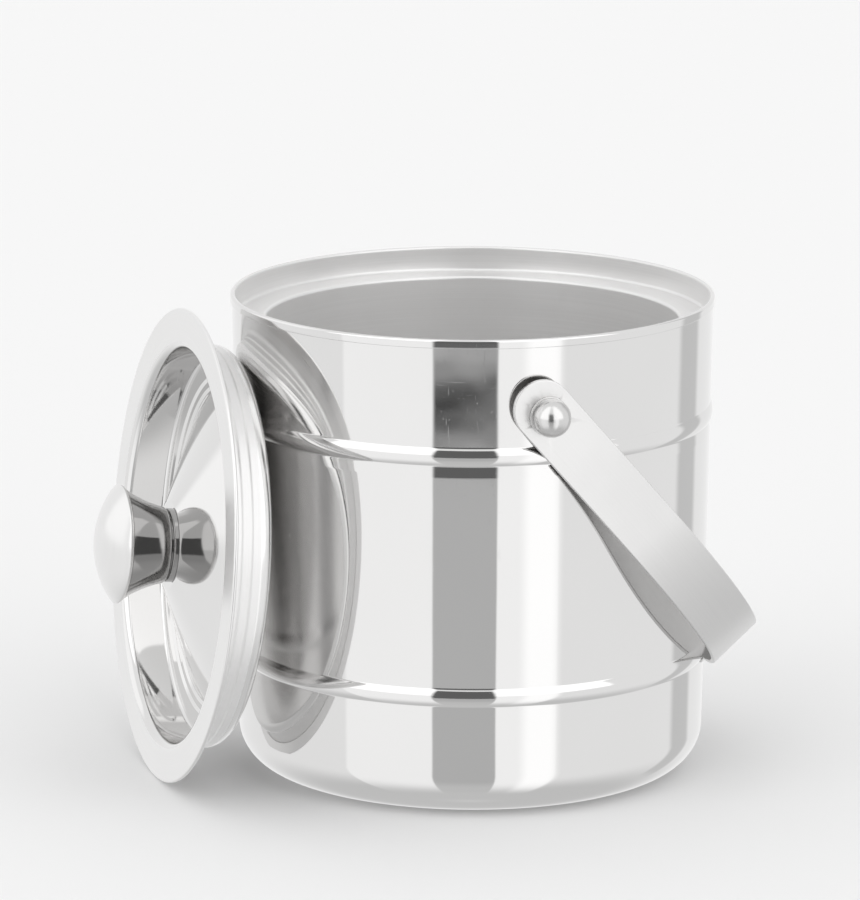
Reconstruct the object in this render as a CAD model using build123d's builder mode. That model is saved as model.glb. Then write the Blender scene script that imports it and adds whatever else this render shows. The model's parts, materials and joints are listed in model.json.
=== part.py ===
"""Double-walled steel ice bucket with a swinging strap bail and a lift-off lid.

The origin is the centre of the flat base, +Z is up. The bail turns about a line along Y and
hangs towards +X. The lid stands on its edge on the -X side and leans on the wall.
All lengths are millimetres and all angles are degrees.
"""

from build123d import *
from math import cos, radians, sin
import os

os.makedirs("parts", exist_ok=True)

sheet = 0.4

# Bucket
height = 143.0
base_radius = 69.6          # wall radius just above the rounded base corner
mouth_radius = 71.5         # wall radius at the top: the wall has a slight draft
base_corner = 12.5
bead_heights = [36.6, 108.4]
bead_half_height = 2.6
bead_proud = 0.75

# Liner
rim_radius = 71.95
rim_drop = 2.6              # how far the curled rim reaches down over the wall
neck_radius = 70.5          # inside radius above the shoulder that carries the lid
shoulder_depth = 7.5
throat_radius = 61.4        # inside radius below the shoulder
throat_land = 12.0          # straight length of the throat
liner_base_radius = 59.6
liner_corner = 12.0
liner_floor = 9.5
bend = 1.0                  # inside radius of the liner's small bends

# Bail and its pivots
pivot_height = 121.0
hang_angle = 48.6           # slope of the bail below the horizontal at rest
strap_width = 17.6
strap_thickness = 1.6
edge_round = 0.35
strap_face = 75.5           # outer face of the strap from the bucket's axis, at the pivots
strap_tail = 2.5            # centre of the rounded end beyond the pivot
arm_flat = 11.1             # straight length of an arm from the pivot
bow_radius = 495.0          # the arms then bow in gently
bow_angle = 4.4
stud_radius = 2.5
running_gap = 0.05
face_gap = 0.1
seating_gap = 0.02          # between pieces that touch
spacer_radius = 4.6
washer_radius = 5.8
washer_thickness = 0.6
ball_radius = 5.65
ball_reach = 2.6            # centre of the ball outside the strap's face
backing_size = 20.0
backing_corner = 3.0
backing_thickness = 1.0
stud_head_radius = 5.0
stud_head_thickness = 2.0
stud_embedding = 2.0        # how far the stud reaches past the ball's centre
wall_curve_room = 0.4       # the wall's curve falls away behind the flat stud head

# Lid, drawn about its own axis with height 0 at the top of its flange
flange_radius = 70.3
hem_thickness = 1.2
hem_inner = 66.5
recess_radius = 58.3
recess_lip = 2.6
recess_draft = 0.8
recess_depth = 12.6
ring_step = 0.6
ring_radius_outer = 51.0    # the recess floor steps down here, then again at the cone
ring_radius_inner = 48.4
step_run = 0.7              # radial width of the step's slope
cone_base = 47.5
cone_top = 13.0
seat_height = 1.0           # the cone's flat top, where the knob stands
plug_radius = 60.6
plug_depth = 14.9
plug_corner = 4.0
plug_step_heights = [-4.6, -7.8]
plug_step = 0.4
cup_bend = 1.6

# Knob
knob_radius = 17.65
knob_top = 22.8
knob_seam = 15.7
knob_foot = 2.5
foot_radius = 11.4
foot_round = 0.9
flare_middle = (13.1, 8.6)  # a point on the flare's hollow curve
flare_top = 16.9
neck_waist = 9.2
hollow_inset = 2.3          # the hollow's mouth inside the flare's top
hollow_slope = 1.6
ring_radius = 11.0
ring_thickness = 0.9
screw_radius = 2.0
screw_hole = 2.1
cap_sheet = 0.6
cap_edge = 1.1              # height and width of the cap's rim
screw_end = 11.0
knob_hollow = 12.5          # floor of the hollow under the cap
screw_head_radius = 3.8
screw_head_height = 2.2
screw_washer_radius = 5.5
screw_washer_thickness = 0.8
sleeve_radius = 4.0

# Where the lid stands
lean_angle = 5.0
lean_reach = 91.25          # the flange's centre from the bucket's axis
lean_offset = 5.4           # the lid stands a little off the bucket's centre line


def wall_radius(z):
    """Outside radius of the drafted wall at height z."""
    return base_radius + (mouth_radius - base_radius) * (z - base_corner) / (height - base_corner)


def finish(piece, name):
    """Label a finished piece and write it."""
    piece.part.label = name
    export_step(piece.part, f"parts/{name}.step")


# ---------------------------------------------------------------- outer shell
shell_top = height - 1.0


def shell_outline(inset):
    """Closed half section of the outer wall, moved in by inset: base, corner, wall and beads."""
    flat = base_radius - base_corner
    start = (base_radius - inset, base_corner)
    Line((0, inset), (flat, inset))
    CenterArc((flat, base_corner), base_corner - inset, -90, 90)
    for z in bead_heights:
        low = (wall_radius(z - bead_half_height) - inset, z - bead_half_height)
        crest = (wall_radius(z) + bead_proud - inset, z)
        high = (wall_radius(z + bead_half_height) - inset, z + bead_half_height)
        Line(start, low)
        ThreePointArc(low, crest, high)
        start = high
    Line(start, (wall_radius(shell_top) - inset, shell_top))
    Line((wall_radius(shell_top) - inset, shell_top), (0, shell_top))
    Line((0, shell_top), (0, inset))


with BuildPart() as outer_shell:
    with BuildSketch(Plane.XZ):
        with BuildLine():
            shell_outline(0)
        make_face()
        with BuildLine():
            shell_outline(sheet)
        make_face(mode=Mode.SUBTRACT)
    revolve(axis=Axis.Z)
    with BuildSketch(Plane.XZ):
        with Locations((0, pivot_height)):
            Circle(stud_radius + running_gap)
    extrude(amount=height, both=True, mode=Mode.SUBTRACT)
finish(outer_shell, "outer_shell")

# ---------------------------------------------------------------- inner liner
shoulder = height - shoulder_depth
land_bottom = shoulder - throat_land
liner_low = liner_floor + liner_corner
rim_foot = height - rim_drop
rim_inner_face = mouth_radius + seating_gap
neck_outer = neck_radius + sheet
rim_round = (rim_radius - neck_radius) / 2
curl_round = (rim_inner_face - neck_outer) / 2
crown = height - rim_round


def liner_side(inset, bend_in, bend_out):
    """One face of the liner from its floor up to the crown, moved out by inset."""
    floor_end = liner_base_radius - liner_corner
    corner_r = throat_radius + bend
    neck_corner = neck_radius - bend
    Line((0, liner_floor - inset), (floor_end, liner_floor - inset))
    CenterArc((floor_end, liner_low), liner_corner + inset, -90, 90)
    Line((liner_base_radius + inset, liner_low), (throat_radius + inset, land_bottom))
    Line((throat_radius + inset, land_bottom), (throat_radius + inset, shoulder - bend))
    CenterArc((corner_r, shoulder - bend), bend_in, 90, 90)
    Line((corner_r, shoulder - inset), (neck_corner, shoulder - inset))
    CenterArc((neck_corner, shoulder + bend), bend_out, -90, 90)
    Line((neck_radius + inset, shoulder + bend), (neck_radius + inset, crown))


with BuildPart() as inner_liner:
    with BuildSketch(Plane.XZ):
        with BuildLine():
            liner_side(0, bend, bend)
            CenterArc((neck_radius + rim_round, crown), rim_round, 0, 180)
            Line((rim_radius, crown), (rim_radius, rim_foot))
            Line((rim_radius, rim_foot), (rim_inner_face, rim_foot))
            Line((rim_inner_face, rim_foot), (rim_inner_face, crown))
            CenterArc((neck_outer + curl_round, crown), curl_round, 0, 180)
            liner_side(sheet, bend - sheet, bend + sheet)
            Line((0, liner_floor - sheet), (0, liner_floor))
        make_face()
    revolve(axis=Axis.Z)
finish(inner_liner, "inner_liner")

# ---------------------------------------------------------------- pivots
wall_here = wall_radius(pivot_height)
strap_inner = strap_face - strap_thickness
washer_base = strap_face + face_gap
ball_base = washer_base + washer_thickness
ball_centre = strap_face + ball_reach
stud_end = ball_centre + stud_embedding
stud_head_top = wall_here - sheet - backing_thickness - wall_curve_room
stud_head_base = stud_head_top - stud_head_thickness


def wall_section(outer_inset, inner_inset):
    """Half section of a band that follows the wall between two insets, around the pivots."""
    low = pivot_height - backing_size
    high = pivot_height + backing_size
    Polyline(
        (wall_radius(low) - outer_inset, low),
        (wall_radius(high) - outer_inset, high),
        (wall_radius(high) - inner_inset, high),
        (wall_radius(low) - inner_inset, low),
        close=True,
    )


for side, name in ((-1, "near"), (1, "far")):
    outward = Plane(origin=(0, 0, pivot_height), x_dir=(1, 0, 0), z_dir=(0, side, 0))

    with BuildPart() as backing_plate:
        with BuildSketch(outward):
            RectangleRounded(backing_size, backing_size, backing_corner)
        extrude(amount=wall_here)
        with BuildSketch(Plane.XZ):
            with BuildLine():
                wall_section(sheet + seating_gap, sheet + backing_thickness)
            make_face()
        revolve(axis=Axis.Z, mode=Mode.INTERSECT)
        with BuildSketch(outward):
            Circle(stud_radius + running_gap)
        extrude(amount=wall_here, mode=Mode.SUBTRACT)
    finish(backing_plate, f"pivot_backing_{name}")

    with BuildPart() as pivot_stud:
        with BuildSketch(outward.offset(stud_head_base)):
            Circle(stud_head_radius)
        extrude(amount=stud_head_thickness)
        with BuildSketch(outward.offset(stud_head_base)):
            Circle(stud_radius)
        extrude(amount=stud_end - stud_head_base)
    finish(pivot_stud, f"pivot_stud_{name}")

    with BuildPart() as spacer_collar:
        with BuildSketch(outward.offset(stud_head_top)):
            Circle(spacer_radius)
            Circle(stud_radius + running_gap, mode=Mode.SUBTRACT)
        extrude(amount=strap_inner - face_gap - stud_head_top)
        with BuildSketch(Plane.XZ):
            with BuildLine():
                wall_section(-seating_gap, base_radius / 2)
            make_face()
        revolve(axis=Axis.Z, mode=Mode.SUBTRACT)
    finish(spacer_collar, f"spacer_collar_{name}")

    with BuildPart() as pivot_washer:
        with BuildSketch(outward.offset(washer_base)):
            Circle(washer_radius)
            Circle(stud_radius + running_gap, mode=Mode.SUBTRACT)
        extrude(amount=washer_thickness)
    finish(pivot_washer, f"pivot_washer_{name}")

    with BuildPart() as ball_nut:
        with Locations((0, side * ball_centre, pivot_height)):
            Sphere(ball_radius)
        with BuildSketch(outward):
            Circle(2 * ball_radius)
        extrude(amount=ball_base, mode=Mode.SUBTRACT)
        with BuildSketch(outward):
            Circle(stud_radius)
        extrude(amount=stud_end, mode=Mode.SUBTRACT)
    finish(ball_nut, f"ball_nut_{name}")

# ---------------------------------------------------------------- bail
hang = radians(hang_angle)
bow_end = arm_flat + bow_radius * sin(radians(bow_angle))
bow_side = strap_face - bow_radius * (1 - cos(radians(bow_angle)))
hoop_radius = bow_side / cos(radians(bow_angle))
hoop_centre = bow_end - hoop_radius * sin(radians(bow_angle))
arm_start = -strap_tail - strap_width / 2
bail_reach = hoop_centre + hoop_radius
slot_length = bail_reach + strap_width - arm_start    # its far end lies beyond the hoop

bail_plane = Plane(
    origin=(0, 0, pivot_height),
    x_dir=(cos(hang), 0, -sin(hang)),
    z_dir=(sin(hang), 0, cos(hang)),
)


def strap_outline(inset):
    """One face of the strap: arm, bow, hoop, bow and arm, moved in by inset."""
    face = strap_face - inset
    sweep = 180 - 2 * bow_angle
    Line((arm_start, face), (arm_flat, face))
    CenterArc((arm_flat, strap_face - bow_radius), bow_radius - inset, 90, -bow_angle)
    CenterArc((hoop_centre, 0), hoop_radius - inset, 90 - bow_angle, -sweep)
    CenterArc((arm_flat, bow_radius - strap_face), bow_radius - inset, -90, bow_angle)
    Line((arm_flat, -face), (arm_start, -face))


with BuildPart() as bail_strap:
    with BuildSketch(bail_plane.offset(-strap_width / 2)):
        with BuildLine():
            strap_outline(0)
            strap_outline(strap_thickness)
            Line((arm_start, strap_face), (arm_start, strap_inner))
            Line((arm_start, -strap_face), (arm_start, -strap_inner))
        make_face()
    extrude(amount=strap_width)
    with BuildSketch(Plane(bail_plane.origin, bail_plane.x_dir, (0, -1, 0))):
        with Locations((arm_start + slot_length / 2, 0)):
            SlotOverall(slot_length, strap_width)
    extrude(amount=height, both=True, mode=Mode.INTERSECT)
    fillet(bail_strap.faces().filter_by(bail_plane).edges(), edge_round)
    with BuildSketch(Plane.XZ):
        with Locations((0, pivot_height)):
            Circle(stud_radius + running_gap)
    extrude(amount=height, both=True, mode=Mode.SUBTRACT)
finish(bail_strap, "bail_strap")

# ---------------------------------------------------------------- lid
lean = radians(lean_angle)
lid_plane = Plane(
    origin=(-lean_reach, lean_offset, flange_radius * cos(lean) + hem_thickness * sin(lean)),
    x_dir=(0, -1, 0),
    z_dir=(-cos(lean), 0, sin(lean)),
)
lid_section = Plane(lid_plane.origin, lid_plane.x_dir, lid_plane.x_dir.cross(lid_plane.z_dir))
lid_axis = Axis(lid_plane.origin, lid_plane.z_dir)
hem_round = hem_thickness / 2
hem_gap = hem_thickness - 2 * sheet
hem_middle = flange_radius - hem_round
floor_radius = recess_radius - recess_draft
lip_centre = recess_radius + recess_lip


def pan_side(inset):
    """One face of the lid's upper pan from its screw hole to its rim, moved in by inset."""
    wall_foot = (floor_radius + inset, -recess_depth - inset)
    Polyline(
        (screw_hole, seat_height - inset),
        (cone_top - inset / 3, seat_height - inset),
        (cone_base - inset / 3, -recess_depth - 2 * ring_step - inset),
        (ring_radius_inner + inset / 3, -recess_depth - ring_step - inset),
        (ring_radius_outer - step_run + inset / 3, -recess_depth - ring_step - inset),
        (ring_radius_outer + inset / 3, -recess_depth - inset),
        wall_foot,
        (recess_radius + inset, -recess_lip),
    )
    CenterArc((lip_centre, -recess_lip), recess_lip - inset, 180, -90)
    Line((lip_centre, -inset), (hem_middle, -inset))


with BuildPart() as lid_top_pan:
    with BuildSketch(lid_section):
        with BuildLine():
            pan_side(0)
            CenterArc((hem_middle, -hem_round), hem_round, 90, -180)
            Polyline(
                (hem_middle, -hem_thickness),
                (hem_inner, -hem_thickness),
                (hem_inner, sheet - hem_thickness),
                (hem_middle, sheet - hem_thickness),
            )
            CenterArc((hem_middle, -hem_round), hem_gap / 2, -90, 180)
            pan_side(sheet)
            Line((screw_hole, seat_height - sheet), (screw_hole, seat_height))
        make_face()
    revolve(axis=lid_axis)
finish(lid_top_pan, "lid_top_pan")

cup_sheet = hem_gap - 2 * seating_gap
cup_top = -sheet - seating_gap
cup_rim = hem_middle - 0.5


def cup_side(inset):
    """One face of the lid's lower cup from its rim to its screw hole, moved in by inset."""
    top = cup_top - cup_sheet + inset
    side = plug_radius - inset
    upper, lower = plug_step_heights
    Line((cup_rim, top), (plug_radius + cup_bend, top))
    CenterArc((plug_radius + cup_bend, cup_top - cup_sheet - cup_bend), cup_bend + inset, 90, 90)
    Polyline(
        (side, cup_top - cup_sheet - cup_bend),
        (side, upper),
        (side - plug_step, upper - plug_step),
        (side - plug_step, lower),
        (side - 2 * plug_step, lower - plug_step),
        (side - 2 * plug_step, plug_corner - plug_depth),
    )
    corner = plug_radius - 2 * plug_step - plug_corner
    CenterArc((corner, plug_corner - plug_depth), plug_corner - inset, 0, -90)
    Line((corner, inset - plug_depth), (screw_hole, inset - plug_depth))


with BuildPart() as lid_bottom_cup:
    with BuildSketch(lid_section):
        with BuildLine():
            cup_side(0)
            cup_side(cup_sheet)
            Line((cup_rim, cup_top), (cup_rim, cup_top - cup_sheet))
            Line((screw_hole, -plug_depth), (screw_hole, cup_sheet - plug_depth))
        make_face()
    revolve(axis=lid_axis)
finish(lid_bottom_cup, "lid_bottom_cup")


def turned(name, outline):
    """A lid piece turned about the lid's axis from a closed list of (radius, height) corners."""
    with BuildPart() as piece:
        with BuildSketch(lid_section):
            with BuildLine():
                Polyline(*outline, close=True)
            make_face()
        revolve(axis=lid_axis)
    finish(piece, name)


def ring(inner, outer, low, high):
    """The four corners of a plain ring's section."""
    return [(inner, low), (outer, low), (outer, high), (inner, high)]


washer_low = -plug_depth - screw_washer_thickness
turned("knob_base_ring", ring(screw_hole, ring_radius, seat_height, seat_height + ring_thickness))
turned("screw_washer", ring(screw_hole, screw_washer_radius, washer_low, -plug_depth))
turned(
    "distance_sleeve",
    ring(screw_hole, sleeve_radius, cup_sheet - plug_depth, seat_height - sheet),
)
turned(
    "knob_screw",
    [
        (0, washer_low - screw_head_height),
        (screw_head_radius, washer_low - screw_head_height),
        (screw_head_radius, washer_low),
        (screw_radius, washer_low),
        (screw_radius, screw_end),
        (0, screw_end),
    ],
)

# ---------------------------------------------------------------- knob
cap_edge_height = knob_seam + cap_edge
cap_rise = knob_top - cap_edge_height
dome_radius = (knob_radius**2 + cap_rise**2) / (2 * cap_rise)
cap_inner = knob_radius - cap_edge
cap_foot = knob_radius - 0.4


def dome(radius, r):
    """A point at radius r on a dome of the given radius about the cap's centre."""
    return (r, knob_top - dome_radius + (radius**2 - r**2) ** 0.5)


with BuildPart() as knob_body:
    with BuildSketch(lid_section):
        with BuildLine():
            Polyline(
                (screw_radius, seat_height + ring_thickness),
                (neck_waist, seat_height + ring_thickness),
                (neck_waist, knob_foot),
                (foot_radius - foot_round, knob_foot),
            )
            CenterArc((foot_radius - foot_round, knob_foot + foot_round), foot_round, -90, 90)
            ThreePointArc((foot_radius, knob_foot + foot_round), flare_middle, (flare_top, knob_seam))
            Polyline(
                (flare_top, knob_seam),
                (flare_top - hollow_inset, knob_seam),
                (flare_top - hollow_inset - hollow_slope, knob_hollow),
                (screw_radius, knob_hollow),
                (screw_radius, seat_height + ring_thickness),
            )
        make_face()
    revolve(axis=lid_axis)
finish(knob_body, "knob_body")

with BuildPart() as knob_cap:
    with BuildSketch(lid_section):
        with BuildLine():
            edge = dome(dome_radius, knob_radius)
            under = dome_radius - cap_sheet
            ThreePointArc((0, knob_top), dome(dome_radius, knob_radius / 2), edge)
            ThreePointArc(edge, (knob_radius - 0.05, knob_seam + cap_edge / 2), (cap_foot, knob_seam))
            Line((cap_foot, knob_seam), (cap_inner, knob_seam))
            Line((cap_inner, knob_seam), dome(under, cap_inner))
            ThreePointArc(dome(under, cap_inner), dome(under, cap_inner / 2), dome(under, 0))
            Line((0, knob_top - cap_sheet), (0, knob_top))
        make_face()
    revolve(axis=lid_axis)
finish(knob_cap, "knob_cap")
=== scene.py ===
"""Looks for the steel ice bucket: polished shell and liner, satin bail, leaning lid and knob."""

import json
import logging
import math
from dataclasses import dataclass, field
from enum import Enum

import bmesh
import bpy
from mathutils import Matrix, Vector


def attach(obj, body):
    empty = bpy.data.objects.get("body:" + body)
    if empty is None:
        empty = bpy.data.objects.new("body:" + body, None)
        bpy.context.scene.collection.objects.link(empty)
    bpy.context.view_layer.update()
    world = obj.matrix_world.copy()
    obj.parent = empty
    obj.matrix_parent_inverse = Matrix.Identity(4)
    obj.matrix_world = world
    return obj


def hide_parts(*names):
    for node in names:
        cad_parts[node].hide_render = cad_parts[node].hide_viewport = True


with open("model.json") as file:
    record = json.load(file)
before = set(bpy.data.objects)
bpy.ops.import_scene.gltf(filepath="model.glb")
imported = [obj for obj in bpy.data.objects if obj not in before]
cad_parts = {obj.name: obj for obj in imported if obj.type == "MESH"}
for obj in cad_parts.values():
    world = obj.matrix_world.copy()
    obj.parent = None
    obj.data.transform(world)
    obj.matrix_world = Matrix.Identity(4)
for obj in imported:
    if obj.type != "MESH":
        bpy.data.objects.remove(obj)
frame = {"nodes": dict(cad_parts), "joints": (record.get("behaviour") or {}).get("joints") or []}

LOG = logging.getLogger("ice_bucket")
MM = 0.001
MIX_COLOUR_INPUTS = (0, 6, 7)  # factor and the two colours of a Mix node set to colour
MIX_COLOUR_RESULT = 2
CREASE = math.radians(38.0)     # edges sharper than this stay sharp
WELD = 0.002 * MM
FEWEST_ARC_PIECES = 6
Point = tuple[float, float]
Triple = tuple[float, float, float]


class Body(Enum):
    """The bodies that pieces ride on."""

    BUCKET = "bucket"
    BAIL = "bail"
    LID = "lid"


class Side(Enum):
    """The two pivots of the bail, near and far along Y."""

    NEAR = "near"
    FAR = "far"


# ---------------------------------------------------------------- section outlines


@dataclass
class Outline:
    """A turned section in millimetres: radius and height, drawn point by point.

    Straight runs get a point close to each end, so that smooth shading stays flat along them.
    """

    points: list[Point] = field(default_factory=list)
    guard: float = 0.25
    arc_step: float = 9.0

    def to(self, radius: float, height: float) -> "Outline":
        """Draws a straight run to a point.

        Args:
            radius: distance from the axis.
            height: height along the axis.

        Returns:
            The outline itself, so that calls can be chained.
        """
        if self.points:
            start = Vector(self.points[-1])
            end = Vector((radius, height))
            run = end - start
            if run.length > 4 * self.guard:
                step = run.normalized() * self.guard
                self.points.append(tuple(start + step))
                self.points.append(tuple(end - step))
        self.points.append((radius, height))
        return self

    def bend(self, centre: Point, radius: float, start: float, sweep: float) -> "Outline":
        """Draws an arc, joined to the last point by a straight run.

        Args:
            centre: the arc's centre.
            radius: the arc's radius.
            start: the angle of its first point, in degrees.
            sweep: the angle it turns through, in degrees.

        Returns:
            The outline itself.
        """
        count = max(2, math.ceil(abs(sweep) / self.arc_step))
        for index in range(count + 1):
            angle = math.radians(start + sweep * index / count)
            point = (centre[0] + radius * math.cos(angle), centre[1] + radius * math.sin(angle))
            if index == 0:
                self.to(*point)
            else:
                self.points.append(point)
        return self

    def through(self, middle: Point, end: Point) -> "Outline":
        """Draws an arc from the last point through a middle point to an end point."""
        centre, radius = circle_through(self.points[-1], middle, end)
        first = math.degrees(math.atan2(self.points[-1][1] - centre[1], self.points[-1][0] - centre[0]))
        last = math.degrees(math.atan2(end[1] - centre[1], end[0] - centre[0]))
        mid = math.degrees(math.atan2(middle[1] - centre[1], middle[0] - centre[0]))
        sweep = (last - first) % 360
        if (mid - first) % 360 > sweep:
            sweep -= 360
        count = max(FEWEST_ARC_PIECES, math.ceil(abs(sweep) / self.arc_step))
        for index in range(1, count + 1):
            angle = math.radians(first + sweep * index / count)
            self.points.append((centre[0] + radius * math.cos(angle), centre[1] + radius * math.sin(angle)))
        return self


def circle_through(a: Point, b: Point, c: Point) -> tuple[Point, float]:
    """The centre and radius of the circle through three points."""
    ax, ay = a[0] - c[0], a[1] - c[1]
    bx, by = b[0] - c[0], b[1] - c[1]
    cross = 2 * (ax * by - ay * bx)
    a2, b2 = ax * ax + ay * ay, bx * bx + by * by
    ux, uy = (by * a2 - ay * b2) / cross, (ax * b2 - bx * a2) / cross
    return (c[0] + ux, c[1] + uy), math.hypot(ux, uy)


# ---------------------------------------------------------------- geometry trees


class Wiring:
    """A node tree, with a short way to add nodes to it."""

    def __init__(self, tree: bpy.types.NodeTree) -> None:
        """Takes the tree."""
        self.tree = tree

    def feed(self, socket: bpy.types.NodeSocket, value: object) -> None:
        """Links a socket, or writes a value, into an input."""
        if isinstance(value, bpy.types.NodeSocket):
            self.tree.links.new(value, socket)
        else:
            socket.default_value = value

    def add(self, kind: str, output: str | int, *values: object, **details: object) -> bpy.types.NodeSocket:
        """Adds a node and feeds it.

        Args:
            kind: the node's type.
            output: the output wanted.
            values: sockets or values for its first inputs, in order.
            details: its own settings by their lower-case names, and sockets or values for its
                inputs by their capitalised names, with _ for a space.

        Returns:
            The wanted output.
        """
        node = self.tree.nodes.new(kind)
        for name, value in details.items():
            if name.islower():
                setattr(node, name, value)
        for socket, value in zip(node.inputs, values):
            self.feed(socket, value)
        for name, value in details.items():
            if not name.islower():
                self.feed(node.inputs[name.replace("_", " ")], value)
        return node.outputs[output]

    def math(self, operation: str, *values: object, clamp: bool = False) -> bpy.types.NodeSocket:
        """Adds a maths node fed by sockets or numbers and returns its output."""
        return self.add("ShaderNodeMath", "Value", *values, operation=operation, use_clamp=clamp)

    def smooth(self, value: object, low: float, high: float, start: float = 0.0) -> bpy.types.NodeSocket:
        """Maps a value onto 0 to 1 with soft ends, or onto 1 to 0 when start is 1."""
        return self.add(
            "ShaderNodeMapRange",
            "Result",
            Value=value,
            From_Min=low,
            From_Max=high,
            To_Min=start,
            To_Max=1.0 - start,
            interpolation_type="SMOOTHSTEP",
        )


class PieceTree(Wiring):
    """A geometry tree that takes a mesh in and gives a finished piece out."""

    def __init__(self, name: str, inputs: dict[str, str]) -> None:
        """Opens the tree.

        Args:
            name: the tree's name.
            inputs: the names and socket types of its inputs beside the mesh and the finish.
        """
        super().__init__(bpy.data.node_groups.new(name, "GeometryNodeTree"))
        face = self.tree.interface
        face.new_socket("Mesh", in_out="INPUT", socket_type="NodeSocketGeometry")
        face.new_socket("Piece", in_out="OUTPUT", socket_type="NodeSocketGeometry")
        self.inputs = {
            label: face.new_socket(label, in_out="INPUT", socket_type=kind).identifier
            for label, kind in {**inputs, "Finish": "NodeSocketMaterial"}.items()
        }
        self.entry = self.tree.nodes.new("NodeGroupInput").outputs

    def close(self, geometry: bpy.types.NodeSocket) -> None:
        """Makes the instances real, gives them the finish and sends them out."""
        real = self.add("GeometryNodeRealizeInstances", "Geometry", geometry)
        piece = self.add("GeometryNodeSetMaterial", "Geometry", real, Material=self.entry["Finish"])
        self.feed(self.tree.nodes.new("NodeGroupOutput").inputs["Piece"], piece)

    def apply(self, piece: bpy.types.Object, values: dict[str, object]) -> None:
        """Runs the tree on a piece with the given input values, and bakes the result."""
        modifier = piece.modifiers.new(self.tree.name, "NODES")
        modifier.node_group = self.tree
        for label, value in values.items():
            modifier[self.inputs[label]] = value
        bake(piece)


class Lathe(PieceTree):
    """A geometry tree that turns a closed section about Z and gives it its finish."""

    PATH_RADIUS = 10.0 * MM

    def __init__(self) -> None:
        """Builds the tree and its named inputs."""
        inputs = {
            "Segments": "NodeSocketInt",
            "Path radius": "NodeSocketFloat",
            "Crease angle": "NodeSocketFloat",
        }
        super().__init__("lathe", inputs)
        segments, radius = self.entry["Segments"], self.entry["Path radius"]
        section = self.add("GeometryNodeMeshToCurve", "Curve", self.entry["Mesh"])
        circle = self.add(
            "GeometryNodeCurvePrimitiveCircle", "Curve", Resolution=segments, Radius=radius
        )
        swept = self.add("GeometryNodeCurveToMesh", "Mesh", circle, section)
        welded = self.add("GeometryNodeMergeByDistance", "Geometry", swept, Distance=WELD)
        outward = self.add("GeometryNodeFlipFaces", "Mesh", welded)
        smooth = self.add("GeometryNodeSetShadeSmooth", "Geometry", outward)
        angle = self.add("GeometryNodeInputMeshEdgeAngle", "Unsigned Angle")
        sharp = self.add("FunctionNodeCompare", "Result", angle, self.entry["Crease angle"])
        creased = self.add(
            "GeometryNodeSetShadeSmooth",
            "Geometry",
            smooth,
            Selection=sharp,
            Shade_Smooth=False,
            domain="EDGE",
        )
        self.close(creased)

    def turn(
        self,
        name: str,
        outline: Outline,
        finish: bpy.types.Material,
        place: Matrix,
        segments: int = 256,
    ) -> bpy.types.Object:
        """Turns a closed section into a finished piece.

        Args:
            name: the piece's name.
            outline: the closed section, drawn with the metal on its left.
            finish: the material it gets.
            place: where the turning axis stands.
            segments: how many faces go round.

        Returns:
            The piece, at the origin, with its place in its mesh.
        """
        shift = self.PATH_RADIUS
        corners = [(r * MM - shift, -h * MM, 0.0) for r, h in outline.points]
        edges = [(i, i + 1) for i in range(len(corners) - 1)]
        if outline.points[0][0] > 0:
            edges.append((len(corners) - 1, 0))
        section = bpy.data.meshes.new(f"{name}_section")
        section.from_pydata(corners, edges, [])
        piece = bpy.data.objects.new(name, section)
        bpy.context.scene.collection.objects.link(piece)
        values = {"Segments": segments, "Path radius": shift, "Crease angle": CREASE, "Finish": finish}
        self.apply(piece, values)
        piece.data.transform(place)
        return piece


class BothSides(PieceTree):
    """A geometry tree that repeats a piece at the opposite pivot, turned half round Z."""

    def __init__(self) -> None:
        """Builds the tree and its named inputs."""
        super().__init__("both_sides", {"Count": "NodeSocketInt"})
        turn = self.math("MULTIPLY", self.add("GeometryNodeInputIndex", "Index"), math.pi)
        spin = self.add("ShaderNodeCombineXYZ", "Vector", Z=turn)
        line = self.add("GeometryNodeMeshLine", "Mesh", Count=self.entry["Count"], Offset=(0.0, 0.0, 0.0))
        pair = self.add(
            "GeometryNodeInstanceOnPoints",
            "Instances",
            Points=line,
            Instance=self.entry["Mesh"],
            Rotation=spin,
        )
        self.close(pair)

    def repeat(self, piece: bpy.types.Object, finish: bpy.types.Material) -> bpy.types.Object:
        """Adds the opposite copy to a piece.

        Args:
            piece: the piece at one pivot, in place.
            finish: the material both copies get.

        Returns:
            The same object, now holding both copies.
        """
        self.apply(piece, {"Count": len(Side), "Finish": finish})
        return piece


def bake(piece: bpy.types.Object) -> None:
    """Replaces a piece's mesh by its evaluated one and drops its modifiers."""
    bpy.context.view_layer.update()
    graph = bpy.context.evaluated_depsgraph_get()
    result = bpy.data.meshes.new_from_object(piece.evaluated_get(graph))
    result.name = piece.name
    piece.modifiers.clear()
    piece.data = result


# ---------------------------------------------------------------- finishes


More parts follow.
